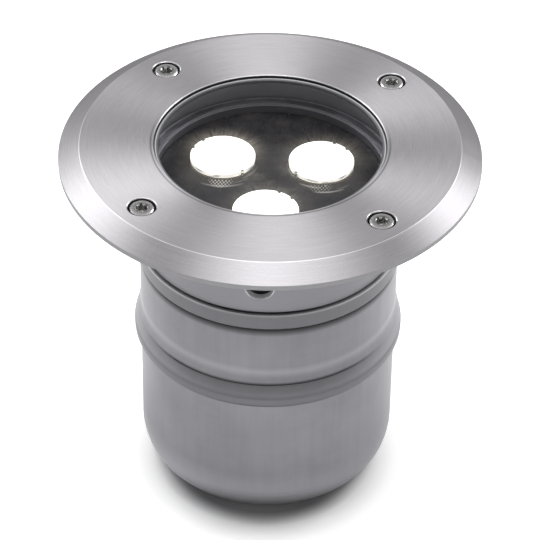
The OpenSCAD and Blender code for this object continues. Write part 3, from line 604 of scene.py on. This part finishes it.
dress(moulded("black_wire", (0.02, 0.02, 0.022), (0.05, 0.05, 0.055), 0.4), "negative_wire")
dress(moulded("emitter_dome", (0.75, 0.66, 0.30), (0.85, 0.78, 0.45), 0.15),
      "front_emitter", "right_emitter", "left_emitter")
dress(moulded("thermal_pad", (0.55, 0.53, 0.47), (0.66, 0.64, 0.57), 0.7), "thermal_pad")
dress(lens_glow(), "front_lens", "right_lens", "left_lens")
dress(dark_plate(), "optic_plate")
dress(clear_glass(), "glass")


# ---------------------------------------------------------------- studio
def studio_floor():
    """White floor. Its soft shade round the can's foot is partly real and partly a painted shadow, with a darker
    painted contact shadow before the foot, and it is plain white further out.

    The shade's middle lies a little before the can's axis.
    """
    bpy.ops.object.select_all(action="DESELECT")
    bpy.ops.mesh.primitive_plane_add(size=6, location=(0, 0, 0))
    floor = bpy.context.object
    floor.name = "studio_floor"
    f = Finish("studio_floor")
    x, y, z = f.axes()
    shade_y = -9 * MM
    away = far(x, y - shade_y)
    grain = f.noise(300.0, 2.0)
    straight, mirrored, through = (f.node("ShaderNodeLightPath", out=kind)
                                   for kind in ("Is Camera Ray", "Is Glossy Ray", "Is Transmission Ray"))
    shown = (straight + mirrored + through).clamped()
    lift = ((away - 28.5 * MM) / (11.5 * MM)).clamped() ** 1.2 * shown
    # painted shadow: darker close to the can's foot, with a painted contact shadow before it
    clear = ((away - 26 * MM) / (9 * MM)).clamped()
    painted_contact_shadow = near(away, 26.8 * MM, 5.8 * MM) * ((-20 * MM - y) / (11 * MM)).clamped()
    white = f.blend(grain, (0.93, 0.93, 0.93), (0.95, 0.95, 0.95))
    colour = f.blend(painted_contact_shadow, f.blend(clear, (0.57, 0.57, 0.58), white), (0.26, 0.26, 0.265))
    f.surface(colour=colour, roughness=0.9, specular=0.0,
              glow=f.blend(lift, (0, 0, 0), (0.36, 0.36, 0.36)), glow_strength=1.0)
    floor.data.materials.append(f.material)


def studio_world():
    """A grey room that shapes the steel. It is white where the camera sees it."""
    levels_by_height = [(0.0, 0.54), (0.16, 0.58), (0.5, 0.63), (0.75, 0.52), (0.9, 0.38), (0.97, 0.85)]
    world = bpy.data.worlds.new("studio")
    bpy.context.scene.world = world
    world.use_nodes = True
    tree = world.node_tree
    room = tree.nodes["Background"]
    place = tree.nodes.new("ShaderNodeTexCoord")
    split = tree.nodes.new("ShaderNodeSeparateXYZ")
    ramp = tree.nodes.new("ShaderNodeValToRGB")
    tree.links.new(place.outputs["Generated"], split.inputs[0])
    tree.links.new(split.outputs["Z"], ramp.inputs[0])
    while len(ramp.color_ramp.elements) < len(levels_by_height):
        ramp.color_ramp.elements.new(0.5)
    for stop, (height, level) in zip(ramp.color_ramp.elements, levels_by_height):
        stop.position = height
        stop.color = (level, level, level, 1)
    behind = Wire(tree, split.outputs["Y"])
    strength = ((behind + 0.5) / 0.8).clamped() * 0.35 + 0.70  # less light from the front
    tree.links.new(ramp.outputs[0], room.inputs["Color"])
    tree.links.new(strength.socket, room.inputs["Strength"])

    white = tree.nodes.new("ShaderNodeBackground")
    white.inputs["Color"].default_value = (1, 1, 1, 1)
    ray = tree.nodes.new("ShaderNodeLightPath")
    mix = tree.nodes.new("ShaderNodeMixShader")
    tree.links.new(ray.outputs["Is Camera Ray"], mix.inputs[0])
    tree.links.new(room.outputs[0], mix.inputs[1])
    tree.links.new(white.outputs[0], mix.inputs[2])
    tree.links.new(mix.outputs[0], tree.nodes["World Output"].inputs[0])


def soft_box(name, direction, distance, wide, high, radiance):
    """An area lamp that faces the object and shines with a set radiance."""
    data = bpy.data.lights.new(name, "AREA")
    data.shape = "RECTANGLE"
    data.size, data.size_y = wide, high
    data.energy = radiance * math.pi * wide * high
    lamp = bpy.data.objects.new(name, data)
    bpy.context.scene.collection.objects.link(lamp)
    aim = Vector((0, 0, 80 * MM))
    lamp.location = aim + Vector(direction).normalized() * distance
    lamp.rotation_euler = (aim - lamp.location).to_track_quat("-Z", "Y").to_euler()


studio_floor()
studio_world()
soft_box("overhead_box", (0.02, 0.02, 1.0), 1.0, 0.48, 0.62, 6.8)
soft_box("left_box", (-0.58, 0.42, 0.66), 0.6, 0.38, 0.30, 5.4)
soft_box("right_box", (0.66, 0.47, 0.59), 0.7, 0.34, 0.36, 5.6)

# ---------------------------------------------------------------- update the view layer
bpy.context.view_layer.update()
